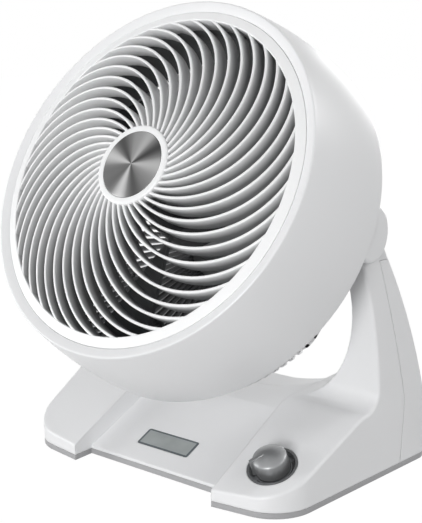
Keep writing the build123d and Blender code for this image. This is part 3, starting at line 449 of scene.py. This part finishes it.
bow = [flank(step / flank_steps) for step in range(1, flank_steps)]
lip_front, lip_back = rim_depth - lip_drop, rim_depth - lip_wall
housing_line = eased(
    [(skirt_radius, skirt_depth, 0.8 * mm)]
    + [(r, z, 0) for r, z in bow]
    + [(rim_radius, rim_depth, 1.3 * mm), (lip_radius, lip_front, 0.7 * mm)]
    + [(lip_radius, lip_front - lip_wall, 0), (rim_radius - wall, lip_back, 0)]
    + [(r - wall, min(z, lip_back), 0) for r, z in reversed(bow)]
    + [(skirt_radius - wall, skirt_depth, 0.6 * mm)]
)
drum_line = eased(
    [(0, drum_foot, 0), (drum_radius, drum_foot, 0.4 * mm)]
    + [(drum_radius, drum_face, 3.5 * mm), (0, drum_face, 0)]
)
shape = bmesh.new()
turned(shape, housing_line, head_place, 240)
for side in (-1, 1):
    drum_place = Matrix.Translation(pivot) @ Matrix.Rotation(side * math.pi / 2, 4, "Y")
    turned(shape, drum_line, drum_place, 96, closed=False)
housing_white = moulding("housing_white", shell_colour, 0.40, 1400, 0.04 * mm, shift=0.012, coat=0.15)
settle("housing_skin", finished(shape, "housing_skin"), housing_white, "duct_housing")

# ---------------------------------------------------------------- front grille
# One white moulding: a hub cup, forty swept vanes whose front edges lie on a dome, and an outer
# ring, whose lap sits behind the housing's lip. The vanes' sides darken with depth in painted
# shade, which painted light lifts in one sector.
crown, dome_radius = 98.9 * mm, 552 * mm
hub_radius, hub_wall, plate_radius = 31 * mm, 3 * mm, 25.8 * mm
well_radius, well_drop = plate_radius + 0.2 * mm, 1.5 * mm
ring_inner, ring_outer, ring_wall = 124.6 * mm, 132.4 * mm, 2.8 * mm
lap_radius, lap_front, lap_wall = 137 * mm, 80.2 * mm, 2.4 * mm
vane_count, vane_depth, vane_thickness, vane_drop = 40, 15 * mm, 2.1 * mm, 0.3 * mm
vane_arc, vane_offset, vane_turn = 71.6 * mm, 63.8 * mm, math.radians(88.2)
arc_steps, edge_steps, edge_share = 36, 3, 0.42  # a vane's edges are round by this share of its thickness
# the vanes' front colour, the painted shade deep between them, and the painted light that lifts it
vane_front, vane_painted_shade, vane_painted_light = (0.94, 0.945, 0.95, 1), (0.29, 0.295, 0.30, 1), (0.74, 0.745, 0.75, 1)
shade_depth = 0.6 * vane_depth
lit_angle, lit_edge, lit_rise = math.radians(122), 0.35, 2.0  # sector where painted light lifts the painted shade between vanes


def dome(radius):
    return crown - dome_radius + math.sqrt(dome_radius**2 - radius**2)


def vane_point(radius):
    """Where a vane's arc, whose middle lies at vane_offset from the axis, crosses this radius."""
    turn = math.acos((radius**2 + vane_offset**2 - vane_arc**2) / (2 * radius * vane_offset))
    angle = vane_turn - turn
    return (radius * math.cos(angle), radius * math.sin(angle), 0)


class Growth(Web):
    """A geometry tree with named inputs, which ends in copies of one shape round the z axis."""

    def __init__(self, name, inputs):
        tree = bpy.data.node_groups.new(name, "GeometryNodeTree")
        super().__init__(tree)
        for key, kind in {**inputs, "Count": "Int", "Material": "Material"}.items():
            tree.interface.new_socket(key, in_out="INPUT", socket_type="NodeSocket" + kind)
        tree.interface.new_socket("Geometry", in_out="OUTPUT", socket_type="NodeSocketGeometry")
        self.start = self.add("NodeGroupInput")

    def given(self, name):
        return self.start.beside(name)

    def end(self, shape):
        """Copy a shape in equal turns, make the copies real and give them the material."""
        seats = self.add("GeometryNodePoints", values={"Count": self.given("Count")})
        step = self.add("GeometryNodeInputIndex") * (2 * math.pi) / self.given("Count")
        turn = self.add("ShaderNodeCombineXYZ", values={"Z": step})
        turn = self.add("FunctionNodeEulerToRotation", values={0: turn})
        copies = self.add(
            "GeometryNodeInstanceOnPoints",
            values={"Points": seats, "Instance": shape, "Rotation": turn},
        )
        copies = self.add("GeometryNodeRealizeInstances", values={0: copies})
        copies = self.add("GeometryNodeSetMaterial", values={0: copies, "Material": self.given("Material")})
        self.add("NodeGroupOutput", values={0: copies})

    def grown(self, name, inputs, source=None):
        """Run the tree with these inputs, on a source if it takes one, and return its plain mesh."""
        seed = placed(name, source or bpy.data.meshes.new(name))
        modifier = seed.modifiers.new("grow", "NODES")
        modifier.node_group = self.tree
        for item in self.tree.interface.items_tree:
            if item.in_out == "INPUT" and item.name in inputs:
                modifier[item.identifier] = inputs[item.name]
        bpy.context.view_layer.update()
        ready = seed.evaluated_get(bpy.context.evaluated_depsgraph_get())
        mesh = bpy.data.meshes.new_from_object(ready)
        seed.modifiers.remove(modifier)
        bpy.data.objects.remove(seed)
        return mesh


points = ("Start", "Middle", "End")
lengths = ("Thickness", "Depth", "Set back", "Crown", "Dome radius")
vanes = Growth("swept_vanes", {**dict.fromkeys(points, "Vector"), **dict.fromkeys(lengths, "Float")})
arc = vanes.add(
    "GeometryNodeCurveArc",
    {"mode": "POINTS"},
    {"Resolution": arc_steps, **{point: vanes.given(point) for point in points}},
)
section = vanes.add(
    "GeometryNodeCurvePrimitiveQuadrilateral",
    values={"Width": vanes.given("Thickness"), "Height": vanes.given("Depth")},
)
section = vanes.add(
    "GeometryNodeFilletCurve",
    {"mode": "POLY"},
    {"Curve": section, "Count": edge_steps, "Radius": vanes.given("Thickness") * edge_share},
)
vane = vanes.add(
    "GeometryNodeCurveToMesh",
    values={"Curve": arc, "Profile Curve": section, "Fill Caps": True},
)
spot = vanes.add("ShaderNodeSeparateXYZ", values={0: vanes.add("GeometryNodeInputPosition")})
x, y = spot.beside("X"), spot.beside("Y")
fall = (vanes.given("Dome radius") ** 2 - x * x - y * y).root()
rise = vanes.given("Crown") - vanes.given("Dome radius") + fall
rise = rise - vanes.given("Set back") - vanes.given("Depth") * 0.5
lift = vanes.add("ShaderNodeCombineXYZ", values={"Z": rise})
vane = vanes.add("GeometryNodeSetPosition", values={"Geometry": vane, "Offset": lift})
vanes.end(vane)

vane_finish = Finish("vane_white", Coat_Weight=0.15, Coat_Roughness=coat_roughness)
across, along, height = vane_finish.inlaid(head_place)
radius, angle = across.polar(along)
fall = (dome_radius**2 - radius * radius).root()
# painted shade: the sides darken with depth under the dome; painted light lifts it in a sector round
# lit_angle
depth = ((crown - dome_radius + fall - height) / shade_depth).clamped()
painted_light = (((angle - lit_angle).cosine() - lit_edge) * lit_rise).clamped()
vane_white = vane_finish.done(
    Base_Color=vane_finish.mix(depth, vane_front, vane_finish.mix(painted_light, vane_painted_shade, vane_painted_light)),
    Roughness=0.38 + (vane_finish.flow() - 0.5) * flow_spread,
    Normal=vane_finish.grain(1400, 0.04 * mm),
)

vane_sizes = {
    "Count": vane_count,
    "Start": vane_point(hub_radius - hub_wall / 2),
    "Middle": vane_point((hub_radius + ring_inner) / 2),
    "End": vane_point(ring_inner + ring_wall / 2),
    "Thickness": vane_thickness,
    "Depth": vane_depth,
    "Set back": vane_drop,
    "Crown": crown,
    "Dome radius": dome_radius,
    "Material": vane_white,
}
vane_mesh = vanes.grown("vanes", vane_sizes)
vane_mesh.transform(head_place)
shoulder = ring_inner + ring_wall
ring_back = dome(ring_inner + ring_wall / 2) - vane_depth - vane_drop
quarters = [ring_inner + (ring_outer - ring_inner) * step / 4 for step in (1, 2, 3)]
ring_line = eased(
    [(ring_inner, dome(ring_inner), 0.8 * mm)]
    + [(r, dome(r), 0) for r in quarters]
    + [(ring_outer, dome(ring_outer), 0.5 * mm), (ring_outer, lap_front, 0)]
    + [(lap_radius, lap_front, 0), (lap_radius, lap_front - lap_wall, 0)]
    + [(shoulder, lap_front - lap_wall, 0), (shoulder, ring_back, 0.5 * mm)]
    + [(ring_inner, ring_back, 0.5 * mm)]
)
hub_back = crown - vane_depth - hub_radius**2 / (2 * dome_radius)
hub_inner, well = hub_radius - hub_wall, crown - well_drop
hub_line = eased(
    [(0, well, 0), (well_radius, well, 0), (well_radius, crown, 0.4 * mm)]
    + [(hub_radius, crown, 1.6 * mm), (hub_radius, hub_back, 0.4 * mm)]
    + [(hub_inner, hub_back, 0.3 * mm), (hub_inner, well - hub_wall, 0), (0, well - hub_wall, 0)]
)
shape = bmesh.new()
shape.from_mesh(vane_mesh)
turned(shape, ring_line, head_place, 240)
turned(shape, hub_line, head_place, 128, closed=False)
settle("grille_skin", finished(shape, "grille_skin"), vane_white, "front_grille")

# ---------------------------------------------------------------- hub medallion
# A spun metal disc pressed into the hub's well. Its face is plain; its colour holds a painted
# reflection, rays of light and dark as turned metal shows them, and its bump the fine round grooves.
disc_bulge, disc_steps = 0.9 * mm, 10
broad_rays, broad_start, broad_share = 4.0, 0.6, 0.32  # number in a turn, phase and strength of the painted reflection's rays
fine_rays, fine_start, fine_share = 7.0, 1.1, 0.14
grooves = 14000.0  # radians in a metre, which is a groove every 0.45 mm


def grey(level):
    return (level, level, level, 1.0)


disc = Finish("spun_disc", Metallic=1.0)
across, along, _ = disc.inlaid(head_place)
radius, angle = across.polar(along)
# painted reflection: broad and fine rays of light and dark round the axis, in the disc's colour
painted_rays = (angle * broad_rays + broad_start).cosine() * broad_share
painted_rays = painted_rays + (angle * fine_rays - fine_start).cosine() * fine_share + 0.5
rings = radius.sum("SINE", radius * grooves)
medallion = disc.done(
    Base_Color=disc.ramp(painted_rays, (0.0, grey(0.05)), (0.5, grey(0.20)), (1.0, grey(0.55))),
    Roughness=0.34 + rings * 0.05,
    Normal=disc.bump(rings, 0.25, 0.02 * mm),
)
shares = [step / disc_steps for step in range(disc_steps)]
bulge = [(plate_radius * share, crown + disc_bulge * (1 - share**2), 0) for share in shares]
disc_line = eased(bulge + [(plate_radius, crown, 0.3 * mm), (plate_radius, well, 0), (0, well, 0)])
shape = bmesh.new()
turned(shape, disc_line, head_place, 128, closed=False)
settle("medallion_skin", finished(shape, "medallion_skin"), medallion, "hub_medallion")

# ---------------------------------------------------------------- rear grille
# A white moulded bowl that closes the head from behind: a plain middle that carries the motor, two
# rows of fine ribs between rings, and flat cheeks beside the arms. Screws hold it by four lugs.
bowl_rim, bowl_wall, cheek, cheek_steps = 149.2 * mm, 2.4 * mm, 118.0 * mm, 32
rim_skirt, rim_back, rim_face = -1 * mm, 3.5 * mm, 6.0 * mm
corner_end, seat = Vector((130.0, -24.0)) * mm, Vector((38.0, -46.0)) * mm
plain_radii = (0.0, seat.x, 42 * mm, 46 * mm)
middle_ring, middle_half = 97 * mm, 2.2 * mm
outer_ring, outer_half = 130 * mm, 1.6 * mm
rib_depth = 6.5 * mm
rib_rows = (  # where a row's ribs start and end, how thick they are there, and how many they are
    (43 * mm, middle_ring, 1.6 * mm, 3.0 * mm, 80),
    (middle_ring, bowl_rim - 0.05 * mm, 2.4 * mm, 2.4 * mm, 120),
)
lug_circle, lug_hole, lug_radius, lug_turns = 144.6 * mm, 1.65 * mm, 4.4 * mm, (45, 135, 225, 315)
# the ribs' white, and the painted shade that stands deep between them
rib_white, rib_painted_shade = (0.80, 0.805, 0.815, 1), (0.10, 0.102, 0.105, 1)
shade_start, shade_span, shade_top = 0.6 * mm, 2.4 * mm, -1.5 * mm

corner_run = bowl_rim - corner_end.x
corner_radius = (corner_run**2 + (rim_back - corner_end.y) ** 2) / (2 * corner_run)
corner_middle = Vector((bowl_rim - corner_radius, rim_back))
inward = (corner_middle - corner_end) / corner_radius
chord = seat - corner_end
back_radius = chord.length_squared / (2 * chord.dot(inward))
back_middle = corner_end + inward * back_radius


def bowl(radius, inset=0.0):
    """Point of the bowl's outer line at this radius, moved inwards by inset."""
    round_back = radius < corner_end.x
    middle, size = (back_middle, back_radius) if round_back else (corner_middle, corner_radius)
    point = Vector((radius, middle.y - math.sqrt(max(size**2 - (radius - middle.x) ** 2, 0.0))))
    return point + (middle - point).normalized() * inset


def strut(shape, stations):
    """A closed bar through stations of four corners each."""
    rows = [[shape.verts.new(corner) for corner in station] for station in stations]
    for one, two in zip(rows, rows[1:]):
        for spot in range(4):
            after = (spot + 1) % 4
            shape.faces.new((one[spot], one[after], two[after], two[spot]))
    shape.faces.new(rows[0][::-1])
    shape.faces.new(rows[-1])


def rib(start, end, thin, thick, steps=14):
    """One rib of the bowl along the local x axis, as a mesh."""
    stations = []
    for step in range(steps + 1):
        share = step / steps
        radius = start + (end - start) * (1 - (1 - share) ** 2)
        half = (thin + (thick - thin) * share) / 2
        outer, inner = bowl(radius), bowl(radius, rib_depth)
        corners = ((outer, -half), (outer, half), (inner, half), (inner, -half))
        stations.append([(point.x, side, point.y) for point, side in corners])
    shape = bmesh.new()
    strut(shape, stations)
    return as_mesh(shape, "rib")


ribs = Growth("spun_ribs", {"Geometry": "Geometry"})
ribs.end(ribs.given("Geometry"))

rib_finish = Finish("grille_white", Roughness=0.45)
sideways, along, height = rib_finish.inlaid(head_place)
radius = sideways.distance(along)


def below(middle, size):
    """How deep a point lies under an arc that is turned round the head's axis."""
    return size - (radius - middle.x).distance(height - middle.y)


# painted shade: the ribs' sides darken with depth; the cheeks, the rim and the plain middle's face stay
# white
on_back, on_flat, past_flat = radius < corner_end.x, radius < seat.x, radius > seat.x
depth = below(back_middle, back_radius) * on_back + below(corner_middle, corner_radius) * (1 - on_back)
depth = depth * past_flat + (height - seat.y) * on_flat
shade = ((depth - shade_start) / shade_span).clamped()
shade = shade * sideways.within(shade_start - cheek, cheek - shade_start) * (height < shade_top)
grille_white = rib_finish.done(
    Base_Color=rib_finish.mix(shade, rib_white, rib_painted_shade),
    Normal=rib_finish.grain(1200, 0.05 * mm),
)

shape = bmesh.new()
for start, end, thin, thick, count in rib_rows:
    row = {"Count": count, "Material": grille_white}
    shape.from_mesh(ribs.grown("ribs", row, rib(start, end, thin, thick)))
rim_inner = bowl_rim - bowl_wall
rings = [[(rim_inner, rim_face), (bowl_rim, rim_face), (bowl_rim, rim_skirt), (rim_inner, rim_skirt)]]
for middle, half in ((middle_ring, middle_half), (outer_ring, outer_half)):
    radii = [middle - half, middle, middle + half]
    rings.append([bowl(r) for r in radii] + [bowl(r, bowl_wall) for r in radii[::-1]])
for line in rings:
    turned(shape, line, Matrix.Identity(4), 192)
under = [(r, seat.y) if r <= seat.x else bowl(r) for r in plain_radii]
over = [(r, seat.y + bowl_wall) if r <= seat.x else bowl(r, bowl_wall) for r in plain_radii[::-1]]
turned(shape, under + over, Matrix.Identity(4), 96, closed=False)
for side in (-1, 1):
    bmesh.ops.bisect_plane(
        shape,
        geom=list(shape.verts) + list(shape.edges) + list(shape.faces),
        plane_co=(side * cheek, 0, 0),
        plane_no=(side, 0, 0),
        clear_outer=True,
    )
    bmesh.ops.holes_fill(shape, edges=[edge for edge in shape.edges if edge.is_boundary], sides=0)
cheek_reach = math.sqrt(bowl_rim**2 - cheek**2)
for side in (-1, 1):
    outer, inner = side * cheek, side * (cheek - bowl_wall)
    stations = []
    for step in range(cheek_steps + 1):
        y = cheek_reach * math.sin((2 * step / cheek_steps - 1) * math.pi / 2)
        low = min(bowl(min(math.hypot(cheek, y), bowl_rim)).y, rim_skirt)
        stations.append([(outer, y, low), (outer, y, rim_face), (inner, y, rim_face), (inner, y, low)])
    strut(shape, stations)
lug_line = [(lug_hole, rim_back), (lug_radius, rim_back), (lug_radius, rim_face), (lug_hole, rim_face)]
for turn in lug_turns:
    angle = math.radians(turn)
    lug_place = Matrix.Translation((lug_circle * math.cos(angle), lug_circle * math.sin(angle), 0))
    turned(shape, lug_line, lug_place, 32)
shape.transform(head_place)
settle("rear_grille_skin", finished(shape, "rear_grille_skin"), grille_white, "rear_grille")

# ---------------------------------------------------------------- pivots
# A zinc plated shoulder bolt on each side, screwed into the drum through the arm's eye, with two
# white plastic washers.
washer_white = moulding("washer_white", (0.7, 0.7, 0.68), 0.5, 900, 0.06 * mm)
for hand in ("left", "right"):
    dress("pivot_bolt_" + hand, zinc)
    dress("pivot_washers_" + hand, washer_white)

# ---------------------------------------------------------------- floor, light and camera
# A pale floor that runs out of sight in pale surroundings, a wide soft lamp in front, weaker ones
# at the left, at the right and behind, and a camera where the picture was taken from.
floor_half, floor_grey, floor_glow, glow_share = 12.0, 0.55, 1.03, 0.97
fill = 0.23  # strength of the surroundings as light; as a backdrop they are white
lamp_size, lamp_aim = 0.9, (0, 0, 0.18)
camera_spot, camera_aim, camera_lens = (0.4869, -0.6014, 0.3211), (0.0630, -0.0587, 0.1806), 68.95


def seen(web):
    """1 for the rays that show the backdrop: from the camera, off a gloss or through glass."""
    paths = web.add("ShaderNodeLightPath")
    direct, gloss = paths.beside("Is Camera Ray"), paths.beside("Is Glossy Ray")
    return direct + gloss + paths.beside("Is Transmission Ray")


floor = placed("floor", bpy.data.meshes.new("floor"))
corners = [(x * floor_half, y * floor_half, 0) for x, y in ((-1, -1), (1, -1), (1, 1), (-1, 1))]
floor.data.from_pydata(corners, [], [(0, 1, 2, 3)])
ground = Finish("pale_floor")
matt = ground.add("ShaderNodeBsdfDiffuse", values={"Color": grey(floor_grey)})
glow = ground.add("ShaderNodeEmission", values={"Color": grey(1.0), "Strength": floor_glow})
both = ground.add("ShaderNodeMixShader", values={0: seen(ground) * glow_share, 1: matt, 2: glow})
ground.add("ShaderNodeOutputMaterial", values={"Surface": both})
floor.data.materials.append(ground.material)

world = bpy.data.worlds.new("studio")
bpy.context.scene.world = world
world.use_nodes = True
sky = Web(world.node_tree)
level = fill + seen(sky) * (1 - fill)
back = sky.add("ShaderNodeBackground", values={"Color": grey(1.0), "Strength": level})
sky.add("ShaderNodeOutputWorld", values={"Surface": back})


def stand(name, data, spot, aim):
    """Place a lamp or a camera at a spot, turned to its aim."""
    thing = placed(name, data)
    thing.location = spot
    thing.rotation_euler = (thing.location - Vector(aim)).to_track_quat("Z", "Y").to_euler()
    return thing


def lamp(name, spot, power, size=lamp_size):
    light = bpy.data.lights.new(name, "AREA")
    light.shape, light.size, light.energy = "DISK", size, power
    stand(name, light, spot, lamp_aim)


lamp("key", (0.45, -2.20, 0.42), 30.0)
lamp("left", (-1.9, -1.3, 0.35), 14.0)
lamp("back_side", (1.25, 1.55, 1.6), 17.0, 1.0)
lamp("right", (2.2, 0.2, 1.3), 6.0)
lamp("behind", (-0.5, 2.3, 0.5), 9.0)

camera = stand("camera", bpy.data.cameras.new("camera"), camera_spot, camera_aim)
camera.data.sensor_width = 36.0
camera.data.lens = camera_lens
camera.data.clip_start = 0.01
bpy.context.scene.camera = camera
bpy.context.scene.view_settings.view_transform = "Standard"
